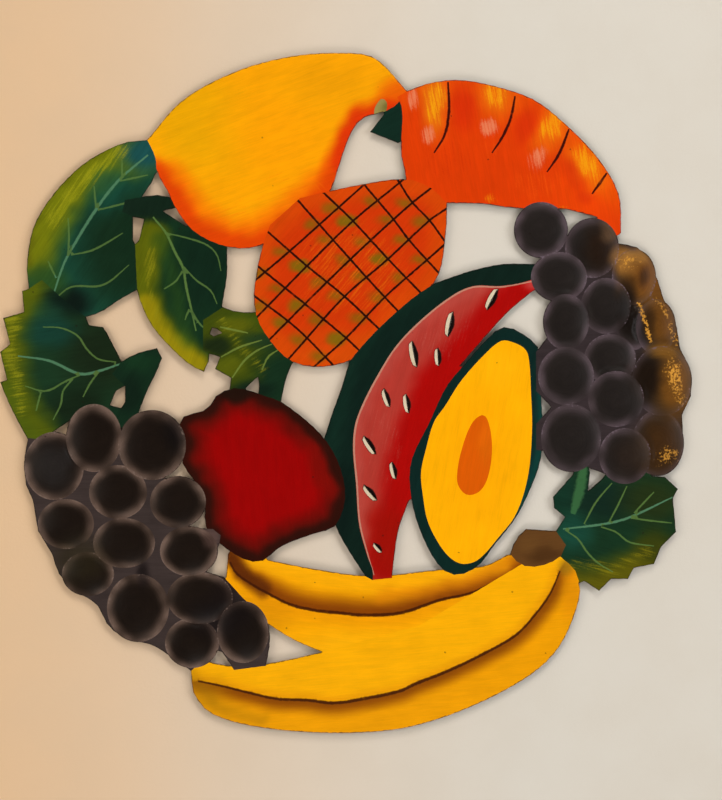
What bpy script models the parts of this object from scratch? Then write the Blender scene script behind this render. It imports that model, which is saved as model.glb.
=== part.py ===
# Wall plate of painted sheet steel: fruit and leaves cut from one sheet with a chisel.
# The plate stands upright in the XZ plane with its front towards -Y. Its back is flat on
# Y = 0, where it lies on the wall, and the origin is on the back, on the melon's rind.

import math
from collections import namedtuple

import bmesh
import bpy
from mathutils import Vector
from mathutils.geometry import delaunay_2d_cdt, interpolate_bezier

# Driving dimensions, in metres
PLATE_WIDTH = 0.580      # from the leaf teeth at the left to the grapes at the right
SHEET = 0.0012           # thickness of the steel
CHISEL_CUT = 0.0085      # one straight cut of the chisel along an outline
GRAPE_RISE = 0.0028      # how far a grape is hammered out of the sheet
SEED_LENGTH = 0.0226     # a seed's slot of this length has the full gap and lip
SEED_GAP = 0.0040        # open width of the slot
SEED_LIP = 0.0036        # width of the lip beside it, which slopes back through the sheet
WELD = 0.0003            # points of the plan closer than this become one

# The drawing: grid squares, x to the right and y down, GRID_SQUARES across the plate,
# so that the whole design is a share of the plate's width.
GRID_SQUARES = 692
GRID_ORIGIN = (360, 394)
SQUARE = PLATE_WIDTH / GRID_SQUARES

# Hammered grapes
RING_SHARE = 0.55        # the ring that rounds a grape, as a share of its radius
RING_POINTS = 8
RING_CLEARANCE = 0.0020  # a point of a crown keeps this far from the grape over it
SEED_STEPS = 6           # straight cuts along one side of a seed's slot
CURVE_STEPS = 12         # points that follow a smooth curve between two drawn points
SOFT_ANGLE = math.radians(35)

STEEL_PAINT = {"colour": (0.32, 0.13, 0.03, 1.0), "roughness": 0.38, "metallic": 0.0}

# A point of the plan: its place, how far it is hammered forward, and how far the back of
# the sheet runs on past it, which makes the sloping lip of a seed's slot.
Point = namedtuple("Point", "place rise lip")
FLAT = Vector((0.0, 0.0))
ALL_TRIANGLES = 0        # the triangulation's form that covers the whole plan

for item in list(bpy.data.objects):
    bpy.data.objects.remove(item)


def corner(x, y):
    """A drawn point where the outline turns sharply; the others are passed smoothly."""
    return (x, y, "corner")


# Outlines that meet overlap a little under the neighbour, where the sheet runs on.
OUTLINES = {
    "leaf_upper": (
        corner(148, 140), (120, 144), (76, 170), (37, 219), (27, 262), corner(29, 290),
        corner(45, 320), corner(86, 317), (101, 312), (119, 300), corner(137, 290),
        corner(150, 270), corner(145, 248), corner(135, 244), corner(133, 240),
        corner(133, 217), corner(138, 204), corner(145, 192), (152, 182),
        corner(156, 173), corner(170, 165), corner(163, 138)),
    "leaf_hanging": (
        corner(125, 200), corner(146, 196), (160, 195), corner(180, 200), corner(180, 207),
        corner(163, 211), corner(186, 226), corner(200, 222), corner(228, 236),
        corner(227, 247), (227, 275), corner(222, 306), corner(232, 318),
        corner(222, 345), corner(210, 350), (208, 364), corner(204, 372),
        (190, 365), (171, 348), (152, 326), (141, 304), corner(137, 290),
        corner(122, 275), corner(122, 250), corner(135, 244), corner(139, 240),
        corner(144, 219), corner(133, 217), corner(122, 212)),
    "leaf_toothed": (
        corner(22, 291), corner(24, 312), corner(3, 318), corner(10, 344), corner(0, 352),
        corner(7, 380), corner(0, 382), (6, 397), (14, 414), corner(28, 440),
        corner(40, 452), corner(53, 432), corner(74, 418), corner(92, 430),
        corner(110, 405), corner(116, 391), corner(125, 386), corner(136, 375),
        corner(134, 362), corner(122, 362), corner(107, 333), corner(103, 327),
        corner(89, 325), corner(86, 317), corner(62, 298), corner(42, 280), corner(28, 289)),
    "leaf_stalk": (
        corner(121, 362), (135, 354), corner(157, 348), corner(162, 358), (157, 371),
        (147, 391), corner(139, 412), corner(140, 430), corner(90, 425), corner(110, 405),
        corner(121, 408), corner(125, 402), corner(125, 386), corner(112, 374)),
    "leaf_small": (
        corner(223, 307), (238, 312), corner(255, 312), corner(268, 318), corner(302, 352),
        corner(292, 364), (286, 379), corner(281, 402), corner(284, 415), corner(260, 412),
        corner(258, 395), (259, 386), corner(258, 377), (251, 383), corner(246, 388),
        corner(247, 400), corner(228, 400), corner(231, 378), corner(215, 369),
        corner(220, 357), corner(210, 354), corner(203, 350), corner(203, 320)),
    "leaf_right": (
        corner(553, 497), corner(573, 474), corner(575, 460), corner(588, 460),
        corner(590, 473), corner(588, 491), corner(602, 479), corner(612, 465),
        corner(642, 462), corner(652, 476), corner(665, 477), corner(678, 489),
        corner(673, 498), corner(676, 532), corner(661, 547), corner(654, 564),
        corner(634, 568), corner(628, 579), corner(611, 579), corner(599, 591),
        corner(584, 581), corner(566, 590), corner(550, 562), corner(545, 540),
        corner(556, 531), corner(565, 517), corner(554, 508)),
    "leaf_tip": (
        corner(412, 100), corner(380, 106), corner(384, 114), corner(370, 132),
        corner(398, 143), corner(414, 135)),
    "mango": (
        corner(147, 140), (183, 100), (237, 71), (293, 56), (346, 53), (375, 58),
        corner(407, 91), (400, 102), (384, 112), (363, 118), (351, 133), (340, 163),
        (328, 195), (300, 219), (262, 245), (228, 247), (189, 227), (165, 187),
        (157, 172), (155, 156)),
    "papaya": (
        corner(407, 91), (430, 83), (460, 80), (502, 88), (538, 102), (576, 134),
        (601, 162), (619, 195), corner(621, 233), corner(605, 245), corner(597, 230),
        corner(597, 217), corner(566, 209), (513, 208), (485, 204), corner(447, 203),
        corner(430, 214), corner(404, 196), corner(406, 179), (401, 153), (402, 125),
        (402, 108), corner(397, 97)),
    "pineapple": (
        corner(330, 191), (353, 186), (405, 179), (431, 188), corner(447, 203),
        (446, 232), (436, 280), (402, 307), (366, 351), (331, 366), (293, 362),
        (264, 332), (254, 304), (257, 270), corner(263, 244), corner(270, 225),
        corner(300, 198)),
    "melon": (
        corner(534, 264), (503, 264), (470, 271), corner(435, 283), corner(420, 274),
        (385, 300), corner(346, 350), corner(349, 362), (341, 389), (330, 420),
        (318, 470), (336, 527), (347, 548), corner(365, 576), corner(372, 590),
        corner(398, 590), corner(393, 577), (394, 559), (399, 528), corner(409, 501),
        corner(424, 490), (424, 455), (446, 400), corner(470, 368), corner(460, 366),
        (479, 344), (508, 312), corner(533, 291), corner(548, 286), corner(548, 266)),
    "avocado": (
        (504, 327), (526, 336), (540, 351), (539, 372), (541, 395), (543, 430),
        (541, 458), (535, 478), (517, 516), (493, 547), (478, 566), (457, 575),
        (440, 567), (421, 533), (411, 497), (411, 462), (430, 421), (446, 387),
        (463, 366), (485, 341)),
    "apple": (
        (234, 388), (217, 395), (207, 409), (180, 420), (185, 442), (182, 462),
        (204, 496), (206, 527), (228, 550), (258, 562), (282, 546), (313, 534),
        (336, 525), (345, 488), (327, 442), (285, 404), (262, 395), (248, 390)),
    "bananas_upper": (
        corner(228, 554), corner(234, 544), corner(262, 552), corner(268, 560),
        (320, 570), (372, 576), (436, 570), (484, 566), corner(507, 555),
        corner(545, 550), corner(530, 600), corner(420, 660), corner(322, 652),
        (300, 643), (285, 635), corner(268, 624), corner(240, 618), corner(220, 590),
        corner(226, 577)),
    "banana_lower": (
        corner(191, 672), corner(188, 655), corner(213, 663), (240, 667), (287, 660),
        corner(322, 652), corner(420, 625), corner(545, 550), corner(561, 557),
        (576, 572), (579, 600), (553, 655), (498, 694), (418, 725), (348, 733),
        (264, 728), (212, 714), (194, 694)),
    "banana_stem": (
        corner(526, 529), corner(556, 531), corner(566, 545), corner(561, 556),
        (550, 563), (532, 567), (520, 564), corner(510, 554), (516, 539)),
    "bunch_left": (
        corner(28, 438), (24, 462), (26, 485), corner(33, 501), (38, 531), corner(52, 554),
        (59, 574), corner(73, 590), (97, 605), (107, 624), (124, 638), (152, 645),
        (171, 657), corner(191, 671), corner(215, 650), corner(222, 652),
        corner(234, 670), corner(266, 666), corner(270, 640), (266, 619),
        corner(244, 599), corner(224, 577), corner(207, 572), (216, 552), (221, 536),
        corner(213, 529), corner(186, 527), corner(176, 502), corner(152, 445),
        corner(93, 438), corner(50, 440)),
    "bunch_right": (
        corner(541, 228), corner(592, 248), corner(617, 243), (640, 249), (655, 273),
        corner(664, 300), (675, 320), corner(680, 348), (690, 370), (691, 396),
        corner(682, 415), (683, 440), (679, 459), corner(663, 474), corner(625, 462),
        corner(605, 474), corner(591, 469), corner(571, 455), corner(536, 450),
        corner(536, 424), corner(551, 407), corner(536, 391), corner(536, 352),
        corner(556, 325), corner(559, 277)),
}

# Grapes from the lowest to the one on top: centre, half width and half height.
GRAPES = (
    (54, 466, 30, 34), (66, 524, 28, 25), (88, 574, 26, 22), (118, 492, 29, 27),
    (192, 643, 27, 25), (200, 598, 33, 26), (189, 551, 29, 25), (124, 543, 31, 25),
    (243, 632, 26, 31), (178, 502, 28, 26), (138, 608, 31, 34), (94, 438, 28, 34),
    (152, 445, 34, 35),
    (541, 230, 27, 28), (634, 312, 20, 38), (634, 277, 22, 28), (592, 248, 27, 30),
    (559, 277, 28, 25), (656, 327, 20, 28), (606, 306, 25, 28), (658, 443, 26, 33),
    (662, 381, 30, 35), (610, 359, 26, 25), (625, 456, 26, 28), (616, 399, 28, 28),
    (566, 322, 23, 28), (566, 376, 28, 29), (571, 438, 30, 34),
)

# Seeds of the melon: the two ends of each slot, open to the left of the line between them.
SEEDS = (
    ((498, 289), (487, 310)), ((453, 312), (448, 337)), ((412, 341), (417, 367)),
    ((438, 348), (439, 366)), ((384, 389), (390, 407)), ((406, 394), (409, 413)),
    ((364, 436), (376, 454)), ((392, 462), (396, 479)), ((364, 485), (377, 500)),
    ((374, 543), (382, 552)),
)

# A small opening where the hanging leaf meets the small one.
LEAF_OPENING = (corner(210, 334), corner(212, 328), corner(217, 329), corner(222, 333),
                corner(214, 336))


def place(x, y):
    """A square of the drawing as a point of the plate, X and Z in metres."""
    return Vector(((x - GRID_ORIGIN[0]) * SQUARE, (GRID_ORIGIN[1] - y) * SQUARE))


def smooth(points, closed):
    """A smooth curve through the points, with handles a third of each span long."""
    count = len(points)
    curve = [points[0]]
    for i in range(count if closed else count - 1):
        start = points[i]
        end = points[(i + 1) % count]
        before = points[i - 1] if closed or i > 0 else start
        after = points[(i + 2) % count] if closed or i + 2 < count else end
        reach = (end - start).length / 3
        leaving = start + (end - before).normalized() * reach
        arriving = end - (after - start).normalized() * reach
        curve.extend(interpolate_bezier(start, leaving, arriving, end, CURVE_STEPS)[1:])
    return curve


def chisel(curve):
    """The curve as straight cuts of equal length, without its last point."""
    lengths = [(end - start).length for start, end in zip(curve, curve[1:])]
    cuts = max(1, round(sum(lengths) / CHISEL_CUT))
    cut = sum(lengths) / cuts
    points = []
    walked = 0.0
    for start, end, length in zip(curve, curve[1:], lengths):
        while len(points) < cuts and len(points) * cut < walked + length:
            points.append(start.lerp(end, (len(points) * cut - walked) / length))
        walked += length
    return points


def outline(drawn):
    """A drawn outline as a closed loop of chisel cuts, taken from corner to corner."""
    corners = [i for i, point in enumerate(drawn) if len(point) == 3]
    places = [place(point[0], point[1]) for point in drawn]
    if not corners:
        return chisel(smooth(places, closed=True))
    loop = []
    for first, last in zip(corners, corners[1:] + [corners[0] + len(places)]):
        run = [places[i % len(places)] for i in range(first, last + 1)]
        loop.extend(chisel(smooth(run, closed=False)))
    return loop


def plain_points(places):
    """Points of the plan that lie flat."""
    return [Point(spot, 0.0, FLAT) for spot in places]


def grape_loop(x, y, half_width, half_height):
    """The border of a grape."""
    radii = Vector((half_width, half_height)) * SQUARE
    cuts = round(math.tau * radii.length / math.sqrt(2) / CHISEL_CUT)
    turns = [math.tau * i / cuts for i in range(cuts)]
    return plain_points(place(x, y) + Vector((radii.x * math.cos(turn), radii.y * math.sin(turn)))
                        for turn in turns)


def grape_share(spot, grape, clearance=0.0):
    """How far a place lies from a grape's centre, as a share of its radius."""
    x, y, half_width, half_height = grape
    offset = spot - place(x, y)
    across = offset.x / (half_width * SQUARE + clearance)
    up = offset.y / (half_height * SQUARE + clearance)
    return math.hypot(across, up)


def crown(grape, above):
    """The centre and ring that raise a grape, apart from what the grapes above it hide."""
    x, y, half_width, half_height = grape
    spots = [place(x, y)]
    for i in range(RING_POINTS):
        turn = math.tau * i / RING_POINTS
        spots.append(place(x + half_width * RING_SHARE * math.cos(turn),
                           y + half_height * RING_SHARE * math.sin(turn)))
    return [Point(spot, GRAPE_RISE * (1 - grape_share(spot, grape) ** 2), FLAT)
            for spot in spots
            if all(grape_share(spot, other, RING_CLEARANCE) > 1 for other in above)]


def seed_loop(start, end):
    """A slot, blunt on its open side, with a pointed lip that slopes back to the middle."""
    top = place(*start)
    along = place(*end) - top
    right = Vector((-along.y, along.x)).normalized() * math.sqrt(along.length / SEED_LENGTH)
    open_side = []
    lip_side = []
    for i in range(1, SEED_STEPS):
        share = i / SEED_STEPS
        bulge = math.sin(math.pi * share)
        middle = top + along * share
        gap = right * math.sqrt(bulge) * SEED_GAP
        lip = right * bulge * SEED_LIP
        open_side.append(Point(middle - gap, 0.0, FLAT))
        lip_side.append(Point(middle + lip, 0.0, -lip))
    return plain_points([top]) + open_side + plain_points([top + along]) + lip_side[::-1]


def anticlockwise(loop):
    """The loop, turned round if it runs clockwise."""
    turning = sum(start.place.cross(end.place) for start, end in zip(loop, loop[1:] + loop[:1]))
    return loop if turning > 0 else loop[::-1]


def triangulate(points, edges, faces=()):
    """Triangles that keep the edges, their points, and the faces that each one lies in."""
    places, _, triangles, origins, _, owners = delaunay_2d_cdt(
        [point.place for point in points], edges, list(faces), ALL_TRIANGLES, WELD)
    carried = [points[origin[0]]._replace(place=spot) if origin else Point(spot, 0.0, FLAT)
               for spot, origin in zip(places, origins)]
    return carried, triangles, owners


def plan_borders():
    """Points and edges of the sheet's rims, and of the grooves between its grapes."""
    sheets = [plain_points(outline(drawn)) for drawn in OUTLINES.values()]
    grapes = [grape_loop(*grape) for grape in GRAPES]
    holes = [plain_points(outline(LEAF_OPENING))] + [seed_loop(*seed) for seed in SEEDS]
    points = []
    faces = []
    for loop in sheets + grapes + holes:
        faces.append(list(range(len(points), len(points) + len(loop))))
        points.extend(anticlockwise(loop))
    points, triangles, owners = triangulate(points, [], faces)

    first_hole = len(sheets) + len(grapes)
    areas = {}
    for triangle, loops in zip(triangles, owners):
        kept = bool(loops) and max(loops) < first_hole
        top = max(loops) if kept and max(loops) >= len(sheets) else None
        for start, end in zip(triangle, triangle[1:] + triangle[:1]):
            areas.setdefault((min(start, end), max(start, end)), []).append((kept, top))
    rims = [edge for edge, sides in areas.items() if sum(kept for kept, _ in sides) == 1]
    grooves = [edge for edge, sides in areas.items()
               if len(sides) == 2 and sides[0][0] and sides[1][0] and sides[0] != sides[1]]
    return points, rims, grooves


def inside(spot, rims, points):
    """Whether a line from the place crosses the rims an odd number of times."""
    crossings = 0
    for first, second in rims:
        start = points[first].place
        end = points[second].place
        if (start.y > spot.y) != (end.y > spot.y):
            share = (spot.y - start.y) / (end.y - start.y)
            crossings += spot.x < start.x + share * (end.x - start.x)
    return crossings % 2 == 1


def plan():
    """The sheet in the flat: its points and triangles, with a crown on each grape."""
    points, rims, grooves = plan_borders()
    used = sorted({i for edge in rims + grooves for i in edge})
    number = {old: new for new, old in enumerate(used)}
    borders = [points[i] for i in used]
    rims = [(number[a], number[b]) for a, b in rims]
    grooves = [(number[a], number[b]) for a, b in grooves]
    crowns = [point for i, grape in enumerate(GRAPES) for point in crown(grape, GRAPES[i + 1:])]
    places, triangles, _ = triangulate(borders + crowns, rims + grooves)
    kept = []
    for triangle in triangles:
        centre = sum((places[i].place for i in triangle), FLAT) / 3
        if inside(centre, rims, borders):
            kept.append(triangle)
    return places, kept


def steel_paint():
    """The paint on the steel."""
    material = bpy.data.materials.new("painted_steel")
    material.use_nodes = True
    shader = material.node_tree.nodes["Principled BSDF"]
    shader.inputs["Base Color"].default_value = STEEL_PAINT["colour"]
    shader.inputs["Roughness"].default_value = STEEL_PAINT["roughness"]
    shader.inputs["Metallic"].default_value = STEEL_PAINT["metallic"]
    return material


def plate():
    """The sheet at its thickness, with hammered grapes and sloping lips at the seeds."""
    points, triangles = plan()
    mesh = bpy.data.meshes.new("plate")
    form = bmesh.new()
    front = []
    back = []
    for spot, rise, lip in points:
        front.append(form.verts.new((spot.x, -SHEET - rise, spot.y)))
        back.append(form.verts.new((spot.x + lip.x, -rise, spot.y + lip.y)))
    walls = {}
    for a, b, c in triangles:
        form.faces.new((front[a], front[b], front[c]))
        form.faces.new((back[c], back[b], back[a]))
        for start, end in ((a, b), (b, c), (c, a)):
            if walls.pop((end, start), None) is None:
                walls[(start, end)] = (front[end], front[start], back[start], back[end])
    for wall in walls.values():
        form.faces.new(wall)
    bmesh.ops.delete(form, geom=[vert for vert in form.verts if not vert.link_faces])
    bmesh.ops.triangulate(form, faces=form.faces[:])
    form.to_mesh(mesh)
    form.free()
    mesh.shade_smooth()
    mesh.set_sharp_from_angle(angle=SOFT_ANGLE)
    mesh.materials.append(steel_paint())
    sheet = bpy.data.objects.new("plate", mesh)
    bpy.context.collection.objects.link(sheet)


plate()
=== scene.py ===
import math
import random

import bpy
import numpy as np
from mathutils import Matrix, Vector, kdtree, noise
from mathutils.geometry import delaunay_2d_cdt, interpolate_bezier, intersect_line_line_2d


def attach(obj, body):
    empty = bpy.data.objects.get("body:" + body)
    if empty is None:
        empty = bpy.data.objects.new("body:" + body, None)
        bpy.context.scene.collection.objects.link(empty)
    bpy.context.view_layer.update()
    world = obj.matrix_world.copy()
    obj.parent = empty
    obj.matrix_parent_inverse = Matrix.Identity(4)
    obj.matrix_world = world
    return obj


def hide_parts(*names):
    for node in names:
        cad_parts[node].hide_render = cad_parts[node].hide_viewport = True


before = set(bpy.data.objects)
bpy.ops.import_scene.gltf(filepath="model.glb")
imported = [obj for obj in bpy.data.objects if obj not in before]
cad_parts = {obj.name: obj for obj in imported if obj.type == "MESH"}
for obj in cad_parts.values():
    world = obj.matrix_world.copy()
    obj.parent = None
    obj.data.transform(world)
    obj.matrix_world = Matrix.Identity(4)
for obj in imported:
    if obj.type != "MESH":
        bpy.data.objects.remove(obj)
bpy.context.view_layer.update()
random.seed(7)
rng = np.random.default_rng(7)

# The drawing's squares: x to the right and y down, 692 across the plate. All shapes,
# lines and patches of paint below are given in squares, and all thicknesses in metres.
drawing = {"width": 0.580, "squares": 692, "origin": (360, 394)}
square = drawing["width"] / drawing["squares"]

plateForm = {
    "sheet": 0.0012,        # steel thickness
    "chiselCut": 0.0085,    # length of one cut along an outline
    "nick": 0.00022,        # how far a cut strays inside its line
    "grapeRise": 0.0028,    # height of a hammered grape
    "grapeSoft": 0.0045,    # a grape sinks over this distance beside the one above it
    "dent": 0.00022,        # the sheet's own unevenness
    "dentSize": 0.055,
    "dentLayer": 3.1,
    "meshStep": 0.0026,     # distance between the points inside the sheet
    "meshStart": (-0.32, -0.30),
    "meshEnd": 0.30,
    "meshStray": 0.12,      # how far such a point strays, in steps
    "rimStep": 0.0029,      # longest piece of a cut's line
    "rimSample": 0.0004,    # distance between the spots that wear is measured from
    "lineStep": 0.0042,     # longest piece of a painted line
    "weld": 0.00012,        # points closer than this become one
    "curveSteps": 12,
    "seedSteps": 10,
    "seedLength": 0.0226,   # a slot of this length has the full gap and lip
    "seedGap": 0.0040,
    "seedLip": 0.0028,
    "seedBlunt": 0.28,      # power of the gap's outline: low for blunt ends
    "seedSlope": 0.78,      # how much of the gap its pale lip fills at the back
    "softAngle": math.radians(40),
}

# The materials, in the order of their numbers on the mesh.
looks = ("fruit", "leaf", "grape", "backSteel", "cutEdge", "seedLip", "seedPale")
lookNumber = {name: i for i, name in enumerate(looks)}

# Outlines from the lowest to the one on top; "!" marks a sharp corner.
outlines = {
    "leafUpper":
        "148,140! 120,144 76,170 37,219 27,262 29,290! 45,320! 86,317! 101,312 119,300 137,290! "
        "150,270! 145,248! 135,244! 133,240! 133,217! 138,204! 145,192! 152,182 156,173! "
        "170,165! 163,138!",
    "leafHanging":
        "125,200! 146,196! 160,195 180,200! 180,207! 163,211! 186,226! 200,222! 228,236! "
        "227,247! 227,275 222,306! 232,318! 222,345! 210,350! 208,364 204,372! 190,365 171,348 "
        "152,326 141,304 137,290! 136,268! 135,244! 139,240! 144,219! 133,217! 122,212!",
    "leafToothed":
        "22,291! 24,312! 3,318! 10,344! 0,352! 7,380! 0,382! 6,397 14,414 28,440! 40,452! "
        "53,432! 74,418! 92,430! 110,405! 116,391! 125,386! 136,375! 134,362! 122,362! 107,333! "
        "103,327! 89,325! 86,317! 62,298! 42,280! 28,289!",
    "leafStalk":
        "121,362! 135,354 157,348! 162,358! 157,371 147,391 139,412! 140,430! 90,425! 110,405! "
        "121,408! 125,402! 125,386! 112,374!",
    "leafSmall":
        "223,307! 238,312 255,312! 268,318! 302,352! 292,364! 286,379 281,402! 284,415! "
        "260,412! 258,395! 259,386 258,377! 251,383 246,388! 247,400! 228,400! 231,378! "
        "215,369! 220,357! 210,354! 203,350! 203,320!",
    "leafRight":
        "553,497! 573,474! 575,460! 588,460! 590,473! 588,491! 602,479! 612,465! 642,462! "
        "652,476! 665,477! 678,489! 673,498! 676,532! 661,547! 654,564! 634,568! 628,579! "
        "611,579! 599,591! 584,581! 566,590! 550,562! 545,540! 556,531! 565,517! 554,508!",
    "leafTip":
        "412,100! 380,106! 384,114! 370,132! 398,143! 414,135!",
    "mango":
        "147,140! 183,100 237,71 293,56 346,53 375,58 407,91! 400,102 384,112 363,118 351,133 "
        "340,163 328,195 300,219 262,245 228,247 189,227 165,187 157,172 155,156",
    "papaya":
        "407,91! 430,83 460,80 502,88 538,102 576,134 601,162 619,195 621,233! 605,245! "
        "597,230! 597,217! 566,209! 513,208 485,204 447,203! 430,214! 404,196! 406,179 401,153 "
        "402,125 402,108 397,97!",
    "pineapple":
        "330,191! 353,186 405,179 431,188 447,203! 446,232 436,280 402,307 366,351 331,366 "
        "293,362 264,332 254,304 257,270 263,244! 270,225! 300,198!",
    "bananasUpper":
        "228,554! 234,544! 262,552! 268,560! 320,570 372,576 436,570 484,566 507,555! 545,550! "
        "530,600! 420,660! 322,652! 300,643 285,635 268,624! 240,618! 220,590! 226,577!",
    "bananaLower":
        "191,672! 188,655! 213,663! 240,667 287,660 322,652! 420,625! 545,550! 561,557! 576,572 "
        "579,600 553,655 498,694 418,725 348,733 264,728 212,714 194,694",
    "bananaStem":
        "526,529! 556,531! 566,545! 561,556! 550,563 532,567 520,564 510,554! 516,539",
    "melon":
        "534,264! 503,264 470,271 435,283! 414,297 394,314 374,333 356,353 349,362! 341,389 "
        "330,420 318,470 336,527 347,548 365,576! 372,580! 392,578! 394,559 399,528 409,501! "
        "424,490! 424,455 446,400 470,368! 460,366! 479,344 508,312 533,291! 548,286! 548,266!",
    "avocado":
        "504,327 526,336 540,351 539,372 541,395 543,430 541,458 535,478 517,516 493,547 "
        "478,566 457,575 440,567 421,533 411,497 411,462 430,421 446,387 463,366 485,341",
    "apple":
        "234,388 217,395 207,409 180,420 185,442 182,462 204,496 206,527 228,550 258,562 "
        "282,546 313,534 336,525 345,488 327,442 285,404 262,395 248,390",
    "bunchLeft":
        "28,438! 24,462 26,485! 33,501! 38,531! 52,554! 59,574 73,590! 97,605 107,624 124,638 "
        "152,645 171,657 191,671! 215,650! 222,652! 234,670! 266,666! 270,640 266,619 244,599! "
        "224,577! 207,572! 216,552 221,536 213,529! 186,527! 176,502! 152,445! 93,438! 50,440!",
    "bunchRight":
        "541,228! 592,248! 617,243! 640,249 655,273 664,300! 675,320 680,348! 690,370 691,396! "
        "682,415! 683,440 679,459! 663,474! 625,462! 605,474! 591,469! 571,455! 536,450! "
        "536,424! 551,407! 536,391! 536,352! 556,325! 559,277!",
}
leafOpening = "210,334! 212,328! 217,329! 222,333! 214,336!"

# Painted areas inside a fruit: the outline that each one lies on, and its own.
paintedAreas = {
    "mangoStub": ("mango", "381,99 387,103 383,116 374,114"),
    "melonFlesh": ("melon", "552,270! 528,281 501,286 474,286 453,295 422,319 396,346 "
                            "377,376 363,403 355,425 353,449 356,484 359,524 367,555 "
                            "373,573 370,594! 404,594! 440,520! 470,400! 560,300!"),
    "avocadoFlesh": ("avocado", "501,341 512,342 525,349 529,360 531,393 532,430 528,476 "
                                "516,514 498,538 479,559 465,564 453,560 441,547 428,522 "
                                "423,496 421,473 426,449 434,422 445,406 461,381 485,354"),
    "avocadoPit": ("avocadoFlesh", "482,415 488,421 492,445 489,473 481,490 468,495 459,487 "
                                   "457,476 461,452 471,425"),
}

# Grapes from the lowest to the one on top: centre, half width and half height.
grapesLeft = ((54, 466, 30, 34), (66, 524, 28, 25), (88, 574, 26, 22), (118, 492, 29, 27),
              (192, 643, 27, 25), (200, 598, 33, 26), (189, 551, 29, 25), (124, 543, 31, 25),
              (243, 632, 26, 31), (178, 502, 28, 26), (138, 608, 31, 34), (94, 438, 28, 34),
              (152, 445, 34, 35))
grapesRight = ((541, 230, 27, 28), (634, 312, 20, 38), (634, 277, 22, 28), (592, 248, 27, 30),
               (559, 277, 28, 25), (656, 327, 20, 28), (606, 306, 25, 28), (658, 443, 26, 33),
               (662, 381, 30, 35), (610, 359, 26, 25), (625, 456, 26, 28), (616, 399, 28, 28),
               (566, 322, 23, 28), (566, 376, 28, 29), (571, 438, 30, 34))
grapes = grapesLeft + grapesRight

seeds = (((498, 289), (487, 310)), ((453, 312), (448, 337)), ((412, 341), (417, 367)),
         ((438, 348), (439, 366)), ((384, 389), (390, 407)), ((406, 394), (409, 413)),
         ((364, 436), (376, 454)), ((392, 462), (396, 479)), ((364, 485), (377, 500)),
         ((374, 543), (382, 552)))

# Painted lines: the area, full width, colour, how strong, and the points of each line.
veinGreen = (92, 124, 62)
tealVein = (84, 132, 98)
lineBrown = (36, 9, 3)
bananaCrease = ("230,562 236,573 253,585 271,595 289,604 313,610 341,613 362,615 400,613 "
                "440,600 471,593 499,580 524,569")
bananaGap = ("198,681 222,686 250,693 278,699 306,700 334,703 362,699 400,691 415,684 "
             "450,670 485,653 516,635 534,616 550,594 560,571")
latticeFalling = ("367,188 394,220 409,240 437,271", "399,182 412,202 430,221 446,243",
                  "328,197 353,221 388,259 417,289", "310,214 334,241 368,279 395,308",
                  "276,239 307,266 344,296 378,328", "265,272 305,304 346,338 362,353",
                  "257,298 288,321 307,338 332,364")
latticeRising = ("258,278 291,250 319,225 357,191", "259,315 307,266 353,221 398,184",
                 "272,337 327,282 371,240 412,203 426,192",
                 "293,354 344,297 388,259 430,220 443,211",
                 "316,365 346,338 385,297 427,260 444,245")
paintedLines = (
    ("leafUpper", 3.2, tealVein, 0.75, ("148,155 120,179 97,208 71,250 63,266 53,296",)),
    ("leafUpper", 2.2, veinGreen, 0.6, (
        "120,181 148,175", "98,210 110,207 134,201", "71,255 93,250 123,233",
        "55,299 71,287 103,285 129,265", "122,178 122,160", "96,208 94,186",
        "68,256 69,233 68,218", "56,278 48,261")),
    ("leafHanging", 2.8, veinGreen, 0.8, (
        "153,217 166,233 174,250 183,268 186,286 191,308 196,331",)),
    ("leafHanging", 2.0, veinGreen, 0.65, (
        "166,233 187,238 207,245 217,255 221,271", "184,267 196,280 211,291 217,304",
        "182,271 176,281 164,289", "191,309 199,323 209,332", "189,309 185,320")),
    ("leafToothed", 3.0, tealVein, 0.75, ("123,363 99,371 80,374 50,361 18,356",)),
    ("leafToothed", 2.1, veinGreen, 0.65, (
        "116,362 98,359 86,348 78,336 61,328 43,327", "80,375 66,381 46,391 25,386",
        "99,372 91,382 83,397", "73,379 63,391 61,404 53,420", "41,392 36,411")),
    ("leafSmall", 2.2, (120, 140, 60), 0.6, (
        "220,327 234,330 248,333", "221,357 240,347 262,340", "232,378 245,360 258,350 272,344",
        "262,370 268,357 278,350")),
    ("leafRight", 11.0, (62, 112, 66), 0.7, ("584,464 580,488 573,514",)),
    ("leafRight", 2.6, tealVein, 0.8, ("563,529 604,524 628,518 673,497",)),
    ("leafRight", 2.0, veinGreen, 0.7, (
        "584,524 596,502 612,483", "609,522 618,505 627,486", "634,513 654,492",
        "631,518 653,521 672,523", "601,527 616,532 629,542 654,546",
        "565,530 578,539 587,552 598,563 613,572")),
    ("papaya", 3.2, (60, 10, 4), 1.0, (
        "448,82 449,110 445,134 434,153", "515,96 511,117 503,136 492,153",
        "569,129 559,154 547,172", "607,173 592,194")),
    ("pineapple", 2.4, lineBrown, 1.0, latticeFalling),
    ("pineapple", 2.4, lineBrown, 1.0, latticeRising),
    ("melonFlesh", 2.3, (192, 142, 120), 0.8, (
        "534,281 501,287 474,287 453,296 422,320 396,347 378,376 364,403 356,425 354,449 "
        "357,484 360,524 368,555 374,575",)),
    ("bananasUpper", 3.6, (64, 24, 2), 0.95, (bananaCrease,)),
    ("bananaLower", 3.6, (66, 27, 3), 0.95, (bananaGap,)),
)
# Each is cut out wider than it is painted, and the lattice's lines also reach past the rim.
ribbon = {"cover": 2.2, "margin": 1.2, "beyond": {"pineapple": 22}}
# A line is thin at its ends and swells between them.
swell = {"thin": 0.45, "more": 0.55, "span": 0.9, "start": 0.08}


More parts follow.
